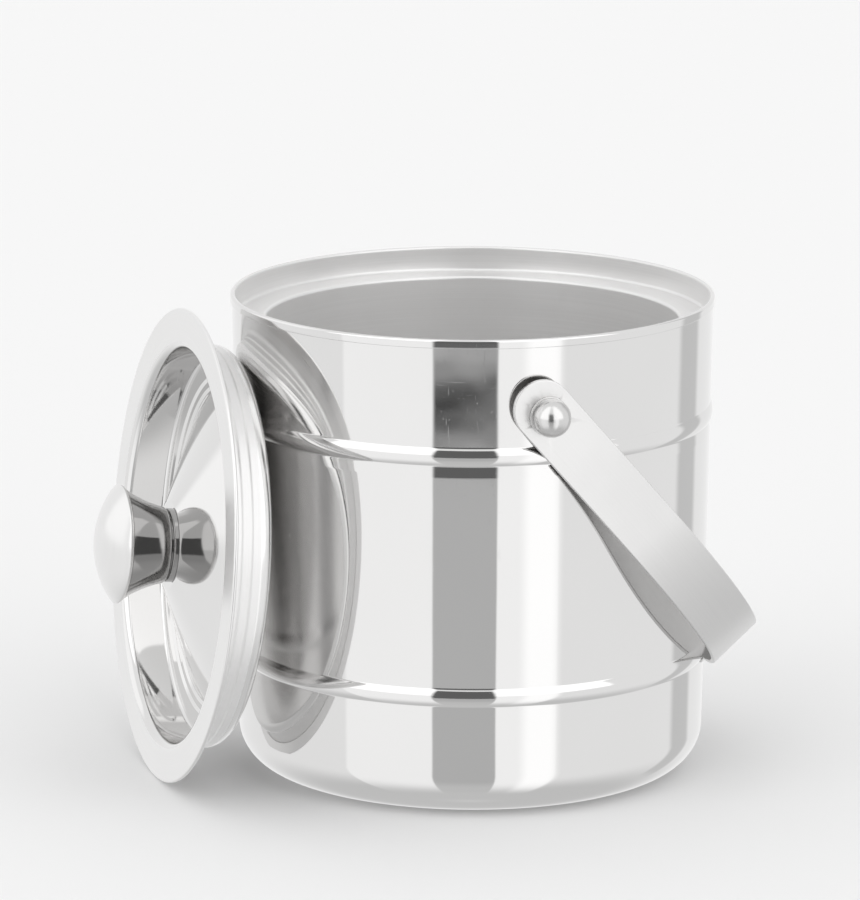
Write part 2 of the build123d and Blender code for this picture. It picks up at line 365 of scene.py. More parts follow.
class ShaderGroup(Wiring):
    """A shader node group with named sockets."""

    def __init__(self, name: str, inputs: dict[str, float], outputs: list[str]) -> None:
        """Opens an empty group.

        Args:
            name: the group's name.
            inputs: its number inputs and their usual values, beside the vector "Place".
            outputs: its number outputs.
        """
        super().__init__(bpy.data.node_groups.new(name, "ShaderNodeTree"))
        face = self.tree.interface
        face.new_socket("Place", in_out="INPUT", socket_type="NodeSocketVector")
        for label, value in inputs.items():
            socket = face.new_socket(label, in_out="INPUT", socket_type="NodeSocketFloat")
            socket.default_value = value
        for label in outputs:
            face.new_socket(label, in_out="OUTPUT", socket_type="NodeSocketFloat")
        self.entry = self.tree.nodes.new("NodeGroupInput").outputs
        self.leave = self.tree.nodes.new("NodeGroupOutput").inputs

    def stretch(self, place: bpy.types.NodeSocket, rates: Triple) -> bpy.types.NodeSocket:
        """Multiplies a place by a number along each axis."""
        return self.add("ShaderNodeVectorMath", "Vector", place, rates, operation="MULTIPLY")

    def noise(self, place: object, scale: float, detail: float) -> bpy.types.NodeSocket:
        """Adds a noise texture at a scale per metre and returns its factor."""
        return self.add("ShaderNodeTexNoise", "Fac", Vector=place, Scale=scale, Detail=detail)

    def mark(self, lines: bpy.types.NodeSocket, patch: bpy.types.NodeSocket, share: object) -> None:
        """Sends lines, with a share of an uneven patch, to Height, and to Tone within 0 to 1."""
        uneven = self.math("MULTIPLY", self.math("SUBTRACT", patch, 0.5), share)
        self.feed(self.leave["Height"], self.math("ADD", lines, uneven))
        self.feed(self.leave["Tone"], self.math("ADD", lines, uneven, clamp=True))


def wear_group() -> ShaderGroup:
    """Fine wear on polished steel: smudges, hairline scratches and the sheet's faint waviness."""
    group = ShaderGroup("polish_wear", {"Smudge": 0.03, "Scratch": 0.05}, ["Rough", "Height"])
    place = group.entry["Place"]
    cloud = group.smooth(group.noise(place, 34.0, 4.0), 0.42, 0.75)
    marks = group.smooth(group.noise(place, 900.0, 2.0), 0.66, 0.80)
    for rates in ((2600.0, 60.0, 160.0), (90.0, 2900.0, 120.0), (150.0, 80.0, 2400.0)):
        hairs = group.smooth(group.noise(group.stretch(place, rates), 1.0, 1.0), 0.70, 0.80)
        marks = group.math("MAXIMUM", marks, hairs)
    smudge = group.math("MULTIPLY", cloud, group.entry["Smudge"])
    scratch = group.math("MULTIPLY", marks, group.entry["Scratch"])
    group.feed(group.leave["Rough"], group.math("ADD", smudge, scratch))
    fine = group.math("MULTIPLY", group.noise(place, 70.0, 1.0), 0.22)
    group.feed(group.leave["Height"], group.math("ADD", group.noise(place, 21.0, 1.0), fine))
    return group


def turned_group() -> ShaderGroup:
    """Marks left by turning: fine rings round the local Z axis, of uneven depth."""
    group = ShaderGroup("turned_marks", {"Pitch": 1900.0, "Unevenness": 0.5}, ["Height", "Tone"])
    place = group.entry["Place"]
    flat = group.stretch(place, (1.0, 1.0, 0.0))
    radius = group.add("ShaderNodeVectorMath", "Value", flat, operation="LENGTH")
    along = group.math("ADD", radius, group.add("ShaderNodeSeparateXYZ", "Z", place))
    across = group.math("MULTIPLY", along, group.entry["Pitch"])
    arc = group.math("MULTIPLY", group.noise(place, 8.0, 1.0), 6.0)
    rings = group.noise(group.add("ShaderNodeCombineXYZ", "Vector", across, arc), 1.0, 4.0)
    group.mark(rings, group.noise(place, 26.0, 3.0), group.entry["Unevenness"])
    return group


def brushed_group() -> ShaderGroup:
    """Brush lines that run along the local X axis, across local Z, with clouds of handling."""
    group = ShaderGroup("brush_lines", {"Across": 2300.0, "Clouds": 0.5}, ["Height", "Tone"])
    place = group.entry["Place"]
    split = group.add("ShaderNodeSeparateXYZ", "X", place).node.outputs
    rates = (30.0, 30.0, group.entry["Across"])
    lanes = [group.math("MULTIPLY", axis, rate) for axis, rate in zip(split, rates)]
    lines = group.noise(group.add("ShaderNodeCombineXYZ", "Vector", *lanes), 1.0, 5.0)
    group.mark(lines, group.noise(place, 45.0, 4.0), group.entry["Clouds"])
    return group


@dataclass(frozen=True)
class SteelFinish:
    """How one steel surface looks.

    Roughness runs from smooth to rough with the marks; tone_low and tone_high are the greys
    that the marks swing between; bump is the depth of the marks in metres.
    """

    name: str
    smooth: float
    rough: float
    tone_low: float
    tone_high: float
    bump: float
    warmth: float = 0.004
    smudge: float = 0.02
    scratch: float = 0.04
    metallic: float = 1.0


class SteelShop:
    """Builds the steel materials from the shared groups, once each."""

    def __init__(self) -> None:
        """Makes the shared shader groups."""
        self.wear = wear_group()
        self.turned = turned_group()
        self.brushed = brushed_group()

    def material(self, finish: SteelFinish, marks: ShaderGroup | None, axes: Matrix) -> bpy.types.Material:
        """Makes one steel material.

        Args:
            finish: its greys, roughness and depth of marks.
            marks: the group of its turning or brushing marks, or None on a polished surface.
            axes: the place and turn of the axes that the marks follow.

        Returns:
            The material.
        """
        steel = bpy.data.materials.new(finish.name)
        steel.use_nodes = True
        net = Wiring(steel.node_tree)
        inverse = axes.inverted()
        local = net.add(
            "ShaderNodeMapping",
            "Vector",
            net.add("ShaderNodeTexCoord", "Object"),
            Location=inverse.to_translation(),
            Rotation=inverse.to_euler("XYZ"),
            vector_type="POINT",
        )
        wear = net.add(
            "ShaderNodeGroup",
            "Rough",
            Place=local,
            Smudge=finish.smudge,
            Scratch=finish.scratch,
            node_tree=self.wear.tree,
            label="Wear",
        )
        height = tone = wear.node.outputs["Height"]
        smooth = finish.smooth
        if marks is not None:
            tone = net.add("ShaderNodeGroup", "Tone", Place=local, node_tree=marks.tree, label="Marks")
            height = tone.node.outputs["Height"]
            smooth = net.add("ShaderNodeMapRange", "Result", tone, To_Min=smooth, To_Max=finish.rough)
        tint = net.add("ShaderNodeMix", MIX_COLOUR_RESULT, data_type="RGBA")
        low, high = (self.grey(level, finish.warmth) for level in (finish.tone_low, finish.tone_high))
        for index, value in zip(MIX_COLOUR_INPUTS, (tone, low, high)):
            net.feed(tint.node.inputs[index], value)
        shader = net.tree.nodes["Principled BSDF"].inputs
        net.feed(shader["Metallic"], finish.metallic)
        net.feed(shader["Base Color"], tint)
        net.feed(shader["Roughness"], net.math("ADD", smooth, wear))
        relief = {"Height": height, "Distance": finish.bump, "Strength": 1.0}
        net.feed(shader["Normal"], net.add("ShaderNodeBump", "Normal", **relief))
        return steel

    @staticmethod
    def grey(level: float, warmth: float) -> tuple[float, float, float, float]:
        """A steel grey, very slightly warm."""
        return (level + warmth, level, level - warmth, 1.0)


# ---------------------------------------------------------------- the bucket


def second_finish(piece: bpy.types.Object, finish: bpy.types.Material, test: object) -> None:
    """Gives another finish to the faces whose local radius and height, in millimetres, pass a test."""
    piece.data.materials.append(finish)
    slot = len(piece.data.materials) - 1
    for face in piece.data.polygons:
        x, y, z = face.center / MM
        if test(math.hypot(x, y), z):
            face.material_index = slot


def settle(
    piece: bpy.types.Object, body: Body, replaced: list[str], place: Matrix | None = None
) -> None:
    """Places a piece, hands it to its body and hides the CAD nodes it stands for."""
    if place is not None:
        piece.data.transform(place)
    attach(piece, body.value)
    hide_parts(*replaced)
    LOG.info("%s: %d faces on %s", piece.name, len(piece.data.polygons), body.value)


@dataclass
class Bucket:
    """The outer shell and the liner with its curled rim. Sizes are in millimetres."""

    lathe: Lathe
    polished: bpy.types.Material
    inside: bpy.types.Material
    height: float = 143.0
    base_radius: float = 69.6
    mouth_radius: float = 71.5
    base_corner: float = 12.5
    sheet: float = 0.4
    bead_heights: tuple[float, float] = (36.6, 108.4)
    bead_reach: float = 2.9
    bead_proud: float = 0.75
    bead_fillet: float = 0.9
    neck_run: float = 3.2           # the wall is drawn in a little just below the upper bead
    neck_draws: tuple[float, float] = (0.0, 0.13)
    rim_radius: float = 71.95
    rim_drop: float = 2.6
    neck_radius: float = 70.5
    shoulder_depth: float = 7.5
    throat_radius: float = 61.4
    throat_land: float = 12.0
    liner_base_radius: float = 59.6
    liner_corner: float = 12.0
    liner_floor: float = 9.5
    liner_bend: float = 1.0
    shell_segments: int = 320
    liner_segments: int = 288

    def wall(self, height: float) -> float:
        """Outside radius of the drafted wall at a height."""
        share = (height - self.base_corner) / (self.height - self.base_corner)
        return self.base_radius + (self.mouth_radius - self.base_radius) * share

    def bead(self, outline: Outline, height: float, draw: float) -> None:
        """Draws a rolled bead with small fillets where it leaves the wall.

        Args:
            outline: the shell's section, drawn up to the wall below the bead.
            height: the bead's height.
            draw: how far the wall is drawn in just below it.
        """
        wall, rise, fillet = self.wall(height), self.bead_proud, self.bead_fillet
        both = (self.bead_reach**2 + rise**2) / (2 * rise)
        crown = both - fillet
        slope = math.degrees(math.asin(self.bead_reach / both))
        start, end = height - self.bead_reach, height + self.bead_reach
        lower = self.wall(start) - draw
        outline.to(self.wall(start - self.neck_run), start - self.neck_run).to(lower, start)
        outline.bend((lower + fillet, start), fillet, 180, -slope)
        outline.bend((wall + rise - crown, height), crown, -slope, 2 * slope)
        outline.bend((self.wall(end) + fillet, end), fillet, 180 + slope, -slope)

    def shell_outline(self) -> Outline:
        """The closed section of the outer shell."""
        flat = self.base_radius - self.base_corner
        top = self.height - 1.0
        outline = Outline(arc_step=5.0).to(0, 0).to(flat, 0)
        outline.bend((flat, self.base_corner), self.base_corner, -90, 90)
        for height, draw in zip(self.bead_heights, self.neck_draws):
            self.bead(outline, height, draw)
        outline.to(self.wall(top), top).to(self.wall(top) - self.sheet, top)
        outline.to(self.base_radius - self.sheet, self.base_corner)
        outline.bend((flat, self.base_corner), self.base_corner - self.sheet, 0, -90)
        return outline.to(0, self.sheet)

    def liner_outline(self) -> Outline:
        """The closed section of the liner, its shoulder and its curled rim."""
        sheet, bend = self.sheet, self.liner_bend
        shoulder = self.height - self.shoulder_depth
        low = self.liner_floor + self.liner_corner
        floor_end = self.liner_base_radius - self.liner_corner
        land = shoulder - self.throat_land
        rim_round = (self.rim_radius - self.neck_radius) / 2
        crown = self.height - rim_round
        foot = self.height - self.rim_drop
        inner_face = self.mouth_radius + 0.03
        curl = (inner_face - self.neck_radius - sheet) / 2
        outline = Outline(arc_step=6.0).to(0, self.liner_floor - sheet)
        outline.to(floor_end, self.liner_floor - sheet)
        outline.bend((floor_end, low), self.liner_corner + sheet, -90, 90)
        outline.to(self.throat_radius + sheet, land)
        outline.bend((self.throat_radius + bend, shoulder - bend), bend - sheet, 180, -90)
        outline.bend((self.neck_radius - bend, shoulder + bend), bend + sheet, -90, 90)
        outline.bend((self.neck_radius + sheet + curl, crown), curl, 180, -180)
        outline.to(inner_face, foot + 0.15)
        outline.bend((self.rim_radius - 0.2, foot + 0.2), 0.2, 180, 180)
        outline.bend((self.neck_radius + rim_round, crown), rim_round, 0, 180)
        outline.bend((self.neck_radius - bend, shoulder + bend), bend, 0, -90)
        outline.bend((self.throat_radius + bend, shoulder - bend), bend, 90, 90)
        outline.to(self.throat_radius, land).to(self.liner_base_radius, low)
        outline.bend((floor_end, low), self.liner_corner, 0, -90)
        return outline.to(0, self.liner_floor)

    def build(self) -> None:
        """Makes the shell and the liner."""
        here = Matrix.Identity(4)
        outline = self.shell_outline()
        shell = self.lathe.turn("outer_shell_polished", outline, self.polished, here, self.shell_segments)
        settle(shell, Body.BUCKET, ["outer_shell"])
        crown = self.height - self.rim_drop
        outline = self.liner_outline()
        liner = self.lathe.turn("inner_liner_rim", outline, self.inside, here, self.liner_segments)
        rim = self.neck_radius + self.sheet
        second_finish(liner, self.polished, lambda radius, height: radius > rim and height > crown)
        settle(liner, Body.BUCKET, ["inner_liner"])


# ---------------------------------------------------------------- the bail


@dataclass
class Bail:
    """The strap and its pivots. Sizes are in millimetres."""

    lathe: Lathe
    pair: BothSides
    satin: bpy.types.Material
    inner_painted_shade_satin: bpy.types.Material
    polished: bpy.types.Material
    plain: bpy.types.Material
    pivot: Vector
    inward: float = -0.4            # faces turned in more than this are the strap's inner side, which gets painted shade
    strap_face: float = 75.5
    face_gap: float = 0.1
    washer_radius: float = 5.8
    washer_thickness: float = 0.6
    ball_radius: float = 5.65
    ball_reach: float = 2.6
    stud_radius: float = 2.5
    collar_radius: float = 4.6
    collar_start: float = 71.22
    strap_thickness: float = 1.6
    clearance: float = 0.05
    segments: int = 72

    def axis(self) -> Matrix:
        """The near pivot's axes: local Z points out of the bucket."""
        turn = Matrix(((1, 0, 0), (0, 0, -1), (0, 1, 0))).to_4x4()
        return Matrix.Translation(self.pivot) @ turn

    def strap(self, node: bpy.types.Object) -> None:
        """Makes the strap from the CAD strap's shape, welded and smoothed, with painted shade on its inner
        side.
        """
        strap = bpy.data.objects.new("bail_strap_satin", node.data.copy())
        bpy.context.scene.collection.objects.link(strap)
        weld = bmesh.new()
        weld.from_mesh(strap.data)
        bmesh.ops.remove_doubles(weld, verts=weld.verts, dist=1e-6)
        weld.to_mesh(strap.data)
        weld.free()
        strap.data.materials.clear()
        strap.data.materials.append(self.satin)
        strap.data.materials.append(self.inner_painted_shade_satin)
        for face in strap.data.polygons:
            face.use_smooth = True
            out = face.center - self.pivot
            # the inner side gets darker greys: painted shade for the narrow gap between strap and wall
            face.material_index = int(face.normal.dot(out.normalized()) < self.inward)
        even = strap.modifiers.new("even_shading", "WEIGHTED_NORMAL")
        even.mode = "FACE_AREA"
        even.weight = 80
        even.keep_sharp = True
        bake(strap)
        settle(strap, Body.BAIL, ["bail_strap"])

    def washer_outline(self) -> Outline:
        """A thin washer with softened edges."""
        low = self.strap_face + self.face_gap
        high, edge = low + self.washer_thickness, 0.18
        outline = Outline().to(self.stud_radius + self.clearance, low)
        outline.bend((self.washer_radius - edge, low + edge), edge, -90, 90)
        outline.bend((self.washer_radius - edge, high - edge), edge, 0, 90)
        return outline.to(self.stud_radius + self.clearance, high)

    def ball_outline(self) -> Outline:
        """The ball nut, flat where it meets the washer, with its blind bore."""
        base = self.strap_face + self.face_gap + self.washer_thickness
        centre = self.strap_face + self.ball_reach
        bore = centre + 2.0
        start = math.degrees(math.asin((base + 0.15 - centre) / self.ball_radius))
        edge = self.ball_radius * math.cos(math.radians(start))
        outline = Outline(arc_step=5.0).to(0, bore).to(self.stud_radius, bore)
        outline.to(self.stud_radius, base).to(edge - 0.2, base)
        return outline.bend((0, centre), self.ball_radius, start, 90 - start)

    def collar_outline(self) -> Outline:
        """The spacer collar between wall and strap, slightly waisted."""
        low, high = self.collar_start, self.strap_face - self.strap_thickness - self.face_gap
        inner = self.stud_radius + self.clearance
        outline = Outline().to(inner, low).to(self.collar_radius, low)
        outline.through((self.collar_radius - 0.25, (low + high) / 2), (self.collar_radius, high))
        return outline.to(inner, high)

    def build(self, nodes: dict[str, bpy.types.Object]) -> None:
        """Makes the strap and the pivot pieces."""
        self.strap(nodes["bail_strap"])
        for name, slot, outline, finish, node in (
            ("ball_nut_pair", "pivot_steel", self.ball_outline(), self.polished, "ball_nut"),
            ("pivot_washer_pair", "pivot_steel", self.washer_outline(), self.polished, "pivot_washer"),
            ("spacer_collar_pair", "fastener_steel", self.collar_outline(), self.plain, "spacer_collar"),
        ):
            piece = self.lathe.turn(name, outline, finish, self.axis(), self.segments)
            self.pair.repeat(piece, finish)
            replaced = [f"{node}_{side.value}" for side in Side]
            settle(piece, Body.BUCKET, replaced)


# ---------------------------------------------------------------- the lid


@dataclass
class Lid:
    """The pan, cup and knob, drawn about the lid's own axis. Sizes are in millimetres."""

    lathe: Lathe
    satin: bpy.types.Material
    polished: bpy.types.Material
    cup_steel: bpy.types.Material
    knob_steel: bpy.types.Material
    dome_steel: bpy.types.Material
    sheet: float = 0.4
    flange_radius: float = 70.3
    hem: float = 1.2
    hem_inner: float = 66.5
    recess_radius: float = 58.3
    recess_lip: float = 2.6
    recess_draft: float = 0.8
    recess_depth: float = 12.6
    ring_step: float = 0.6
    ring_outer: float = 51.0
    ring_inner: float = 48.4
    step_run: float = 0.7
    cone_base: float = 47.5
    cone_top: float = 13.0
    seat: float = 1.0
    plug_radius: float = 60.6
    plug_depth: float = 14.9
    plug_corner: float = 4.0
    plug_steps: tuple[float, float] = (4.6, 7.8)
    plug_step: float = 0.4
    step_round: float = 1.1
    bore: float = 2.1
    ring_round: float = 0.35
    wall_round: float = 1.2
    pan_segments: int = 288

    def pan_outline(self) -> Outline:
        """The upper pan: cone, rings, recess wall, lip, flange and hem."""
        sheet, half = self.sheet, self.hem / 2
        floor = -self.recess_depth
        low = floor - 2 * self.ring_step
        wall_foot = self.recess_radius - self.recess_draft
        lip = self.recess_radius + self.recess_lip
        ring_in, ring_out = self.ring_inner, self.ring_outer - self.step_run
        edge = self.flange_radius - half
        outline = Outline(guard=0.12, arc_step=8.0)
        outline.to(self.bore, self.seat - sheet).to(self.cone_top - 0.2, self.seat - sheet)
        outline.to(self.cone_base - 0.2, low - sheet).to(ring_in, floor - self.ring_step - sheet)
        outline.to(ring_out, floor - self.ring_step - sheet).to(self.ring_outer + 0.2, floor - sheet)
        outline.to(wall_foot + sheet, floor - sheet)
        outline.bend((lip, -self.recess_lip), self.recess_lip - sheet, 180, -90)
        outline.to(edge, -sheet)
        outline.bend((edge, -half), half - sheet, 90, -180)
        outline.to(self.hem_inner, sheet - self.hem).to(self.hem_inner, -self.hem)
        outline.bend((edge, -half), half, -90, 180)
        outline.bend((lip, -self.recess_lip), self.recess_lip, 90, 90)
        foot, soft, middle = self.wall_round, self.ring_round, floor - self.ring_step
        outline.bend((wall_foot - foot, floor + foot), foot, 0, -90)
        outline.bend((self.ring_outer + soft, floor - soft), soft, 90, 40)
        outline.bend((ring_out - 0.2, middle + soft), soft, -50, -40)
        outline.bend((ring_in + 0.2, middle - soft), soft, 90, 35)
        outline.bend((self.cone_base, low + soft), soft, -55, -58)
        outline.to(self.cone_top + 0.5, self.seat - 0.25)
        outline.through((self.cone_top + 0.1, self.seat - 0.08), (self.cone_top - 0.4, self.seat))
        return outline.to(self.bore, self.seat)

    def cup_outline(self) -> Outline:
        """The lower cup: the plug that goes down the throat."""
        sheet = self.hem - 2 * self.sheet - 0.04
        top = -self.sheet - 0.02
        bend = 1.6
        side = self.plug_radius
        low = top - sheet - bend
        corner = side - 2 * self.plug_step - self.plug_corner
        rim = self.flange_radius - self.hem / 2 - 0.5
        outline = Outline(guard=0.15, arc_step=8.0).to(self.bore, -self.plug_depth)
        outline.bend((corner, self.plug_corner - self.plug_depth), self.plug_corner, -90, 90)
        soft = self.step_round
        turn = math.degrees(math.acos(1 - self.plug_step / (2 * soft)))
        reach = 2 * soft * math.sin(math.radians(turn)) - soft
        for count, height in ((1, self.plug_steps[1]), (0, self.plug_steps[0])):
            inner = side - (count + 1) * self.plug_step
            outline.bend((inner + soft, -height - soft), soft, 180, -turn)
            outline.bend((inner + self.plug_step - soft, -height + reach), soft, -turn, turn)
        outline.bend((side + bend, low), bend, 180, -90)
        outline.to(rim, top - sheet).to(rim, top)
        outline.bend((side + bend, low), bend + sheet, 90, 90)
        outline.to(side - 2 * self.plug_step - sheet, self.plug_corner - self.plug_depth)
        outline.bend((corner, self.plug_corner - self.plug_depth), self.plug_corner - sheet, 0, -90)
        return outline.to(self.bore, sheet - self.plug_depth)

    def build(self, place: Matrix) -> None:
        """Makes the pan and the cup."""
        here = Matrix.Identity(4)
        lip = self.recess_radius + self.recess_lip
        pan = self.lathe.turn("lid_pan", self.pan_outline(), self.polished, here, self.pan_segments)
        second_finish(pan, self.satin, lambda radius, height: radius > lip - 0.6)
        settle(pan, Body.LID, ["lid_top_pan"], place)
        cup = self.lathe.turn("lid_plug_cup", self.cup_outline(), self.cup_steel, here)
        corner = self.plug_corner - self.plug_depth
        second_finish(cup, self.dome_steel, lambda radius, height: height < corner)
        settle(cup, Body.LID, ["lid_bottom_cup"], place)
        knob = Knob(self.lathe, self.knob_steel, self.dome_steel, self.seat)
        knob.build(place)


@dataclass
class Knob:
    """The flared knob with its domed cap and base ring. Sizes are in millimetres."""

    lathe: Lathe
    # the flare's and foot ring's steel, with greys kept low as painted shade for the flare's dark
    # reflections
    steel: bpy.types.Material
    dome_steel: bpy.types.Material
    seat: float
    radius: float = 17.65
    top: float = 22.8
    seam: float = 15.7
    foot: float = 2.5
    foot_radius: float = 11.4
    foot_round: float = 0.9
    flare_middle: Point = (13.1, 8.6)
    flare_top: float = 16.8
    waist: float = 9.2
    ring_radius: float = 11.0
    ring_thickness: float = 0.9
    cap_sheet: float = 0.6
    screw_radius: float = 2.0
    hollow: float = 12.5
    cap_edge: float = 1.1           # the cap's rolled edge, above the seam
    cap_lip: float = 1.2            # and in from the cap's radius
    well_lip: float = 2.2           # the flare's open top, in from its rim
    well_foot: float = 3.8
    segments: int = 160

    def body_outline(self) -> Outline:
        """The flared body with its rounded foot and recessed neck."""
        bottom = self.seat + self.ring_thickness
        bead = self.foot_round
        outline = Outline(guard=0.12, arc_step=6.0).to(self.screw_radius, bottom)
        outline.to(self.waist, bottom)
        outline.bend((self.waist + 0.25, self.foot - 0.25), 0.25, 180, -90)
        outline.bend((self.foot_radius - bead, self.foot + bead), bead, -90, 90)
        outline.through(self.flare_middle, (self.flare_top, self.seam - 0.2))
        outline.to(self.flare_top - 0.2, self.seam)
        outline.to(self.flare_top - self.well_lip, self.seam)
        outline.to(self.flare_top - self.well_foot, self.hollow)
        return outline.to(self.screw_radius, self.hollow)

    def cap_outline(self) -> Outline:
        """The domed cap with its rolled edge."""
        edge_height = self.seam + self.cap_edge
        rise = self.top - edge_height
        dome = (self.radius**2 + rise**2) / (2 * rise)
        centre = (0.0, self.top - dome)
        inner = self.radius - self.cap_lip
        slope = math.degrees(math.acos(self.radius / dome))
        under = math.degrees(math.acos(inner / (dome - self.cap_sheet)))
        outline = Outline(guard=0.12, arc_step=2.5)
        outline.bend(centre, dome - self.cap_sheet, 90, under - 90)
        outline.to(inner, self.seam).to(self.radius - 0.75, self.seam)
        outline.through((self.radius - 0.28, self.seam + 0.22), (self.radius - 0.05, self.seam + 0.75))
        outline.through((self.radius, self.seam + 0.95), (self.radius - 0.12, edge_height + 0.06))
        return outline.bend(centre, dome, slope + 0.6, 90 - slope - 0.6)

    def ring_outline(self) -> Outline:
        """The thin ring that the knob stands on."""
        low, high = self.seat, self.seat + self.ring_thickness
        outline = Outline(guard=0.1).to(self.screw_radius + 0.1, low).to(self.ring_radius, low)
        outline.bend((self.ring_radius - 0.2, high - 0.2), 0.2, 0, 90)
        return outline.to(self.screw_radius + 0.1, high)

    def build(self, place: Matrix) -> None:
        """Makes the knob's three visible pieces."""
        for name, outline, finish, node in (
            ("knob_flare", self.body_outline(), self.steel, "knob_body"),
            ("knob_dome", self.cap_outline(), self.dome_steel, "knob_cap"),
            ("knob_foot_ring", self.ring_outline(), self.steel, "knob_base_ring"),
        ):
            piece = self.lathe.turn(name, outline, finish, Matrix.Identity(4), self.segments)
            settle(piece, Body.LID, [node], place)


# ---------------------------------------------------------------- the studio


@dataclass(frozen=True)
class Card:
    """A soft grey or white card round the studio, by its directions in degrees.

    Azimuth runs from the camera, positive to its right; elevation from the level.
    """

    level: float
    azimuth: tuple[float, float]
    elevation: tuple[float, float] = (-90.0, 90.0)
    soft: float = 2.0
    soft_up: float = 2.0


@dataclass
class Studio:
    """Floor, soft light and camera."""

    turned: float = 17.0            # the camera looks across the bail from this side, in degrees
    distance: float = 1.80725
    eye_height: float = 0.50278
    yaw: float = -0.00689
    pitch: float = 0.22212
    roll: float = 0.00401
    lens: float = 248.1
    sensor: float = 36.0
    mirror_bounces: int = 18        # light has to find its way out of the polished well
    base_level: float = 0.95
    cards: tuple[Card, ...] = (
        Card(0.66, (-200.0, 200.0), (-95.0, -38.0), 2.0, 34.0),
        Card(1.10, (-64.0, -18.5), (-46.0, 20.0), 2.5, 40.0),
        Card(0.54, (-18.5, 12.5), (-44.0, 20.0), 1.2, 40.0),
        Card(1.12, (12.5, 42.7), (-46.0, 20.0), 1.2, 40.0),
        Card(1.30, (26.0, 42.7), (-46.0, 20.0), 7.0, 40.0),
        Card(0.66, (119.0, 138.0), (-40.0, 40.0), 6.0, 8.0),
        Card(0.02, (-17.8, 11.8), (-14.22, -13.66), 1.6, 0.35),
        Card(0.14, (-17.8, 11.8), (-12.3, 34.0), 1.6, 0.8),
        Card(1.45, (-72.0, -18.5), (2.0, 80.0), 4.0, 6.0),
        Card(1.45, (12.5, 72.0), (2.0, 80.0), 4.0, 6.0),
        Card(1.15, (-128.0, -84.0), (0.0, 48.0), 8.0, 8.0),
    )

    def forward(self) -> Vector:
        """The camera's viewing direction before the studio is turned."""
        level = math.cos(self.pitch)
        return Vector((math.sin(self.yaw) * level, math.cos(self.yaw) * level, -math.sin(self.pitch)))

    def camera(self) -> None:
        """Sets the camera."""
        ahead = self.forward()
        side = Vector((math.cos(self.yaw), -math.sin(self.yaw), 0.0))
        above = side.cross(ahead)
        right = side * math.cos(self.roll) + above * math.sin(self.roll)
        up = above * math.cos(self.roll) - side * math.sin(self.roll)
        axes = Matrix((right, up, -ahead)).transposed().to_4x4()
        place = Matrix.Translation((0.0, -self.distance, self.eye_height)) @ axes
        data = bpy.data.cameras.new("studio_camera")
        data.lens = self.lens
        data.sensor_width = self.sensor
        data.clip_end = 50.0
        camera = bpy.data.objects.new("studio_camera", data)
        bpy.context.scene.collection.objects.link(camera)
        camera.matrix_world = self.turn() @ place
        bpy.context.scene.camera = camera

    def turn(self) -> Matrix:
        """The studio's turn about Z, from the camera's own axes to the bucket's."""
        return Matrix.Rotation(-math.radians(self.turned), 4, "Z")

    def floor(self) -> None:
        """Lays the pale floor."""
        half = 9.0
        corners = [(-half, -half, 0.0), (half, -half, 0.0), (half, half, 0.0), (-half, half, 0.0)]
        mesh = bpy.data.meshes.new("floor")
        mesh.from_pydata(corners, [], [(0, 1, 2, 3)])
        paper = bpy.data.materials.new("pale_paper")
        paper.use_nodes = True
        shader = paper.node_tree.nodes["Principled BSDF"]
        shader.inputs["Base Color"].default_value = (0.855, 0.855, 0.855, 1.0)
        shader.inputs["Roughness"].default_value = 0.9
        shader.inputs["Specular IOR Level"].default_value = 0.0
        mesh.materials.append(paper)
        floor = bpy.data.objects.new("floor", mesh)
        floor.location.z = -0.0002
        floor.visible_glossy = False
        bpy.context.scene.collection.objects.link(floor)

    def light(self) -> None:
        """Builds the surrounding light with its soft cards."""
        world = bpy.data.worlds.new("studio")
        bpy.context.scene.world = world
        world.use_nodes = True
        net = Wiring(world.node_tree)

        def window(value: bpy.types.NodeSocket, ends: Point, soft: float) -> bpy.types.NodeSocket:
            """One inside a range of degrees, zero outside, with soft edges."""
            rise, fall = (
                net.smooth(value, end - soft / 2, end + soft / 2, start)
                for end, start in zip(ends, (0.0, 1.0))
            )
            return net.math("MULTIPLY", rise, fall)

        turned = net.add(
            "ShaderNodeMapping",
            "Vector",
            net.add("ShaderNodeTexCoord", "Generated"),
            Rotation=(0.0, 0.0, math.radians(self.turned)),
            vector_type="VECTOR",
        )
        x, y, z = net.add("ShaderNodeSeparateXYZ", "X", turned).node.outputs
        azimuth = net.math("DEGREES", net.math("ARCTAN2", x, net.math("MULTIPLY", y, -1.0)))
        elevation = net.math("DEGREES", net.math("ARCSINE", z))
        level: object = self.base_level
        for card in self.cards:
            across = window(azimuth, card.azimuth, card.soft)
            upward = window(elevation, card.elevation, card.soft_up)
            mask = net.math("MULTIPLY", across, upward)
            step = net.math("SUBTRACT", card.level, level)
            level = net.math("ADD", level, net.math("MULTIPLY", step, mask))
        background = net.tree.nodes["Background"].inputs
        net.feed(background["Strength"], level)
        net.feed(background["Color"], (1.0, 1.0, 1.0, 1.0))

    def build(self) -> None:
        """Sets up the whole studio."""
        self.camera()
        self.floor()
        self.light()
        bpy.context.scene.view_settings.view_transform = "Standard"
        cycles = bpy.context.scene.cycles
        cycles.max_bounces = self.mirror_bounces
        cycles.glossy_bounces = self.mirror_bounces


# ---------------------------------------------------------------- assembly


def lean_place(reach: float = 91.25, offset: float = 5.4, angle: float = 5.0) -> Matrix:
    """Where the leaning lid's own axis stands: local Z points out of the recess.

    Args:
        reach: distance of the flange's centre from the bucket's axis, in millimetres.
        offset: its place along Y, in millimetres.
        angle: how far the lid leans, in degrees.

    Returns:
        The lid's place in metres.
    """
    lean = math.radians(angle)
    height = Lid.flange_radius * math.cos(lean) + Lid.hem * math.sin(lean)
    along = Vector((-math.cos(lean), 0.0, math.sin(lean)))
    side = Vector((0.0, -1.0, 0.0))
    axes = Matrix((side, along.cross(side), along)).transposed().to_4x4()
    return Matrix.Translation(Vector((-reach, offset, height)) * MM) @ axes


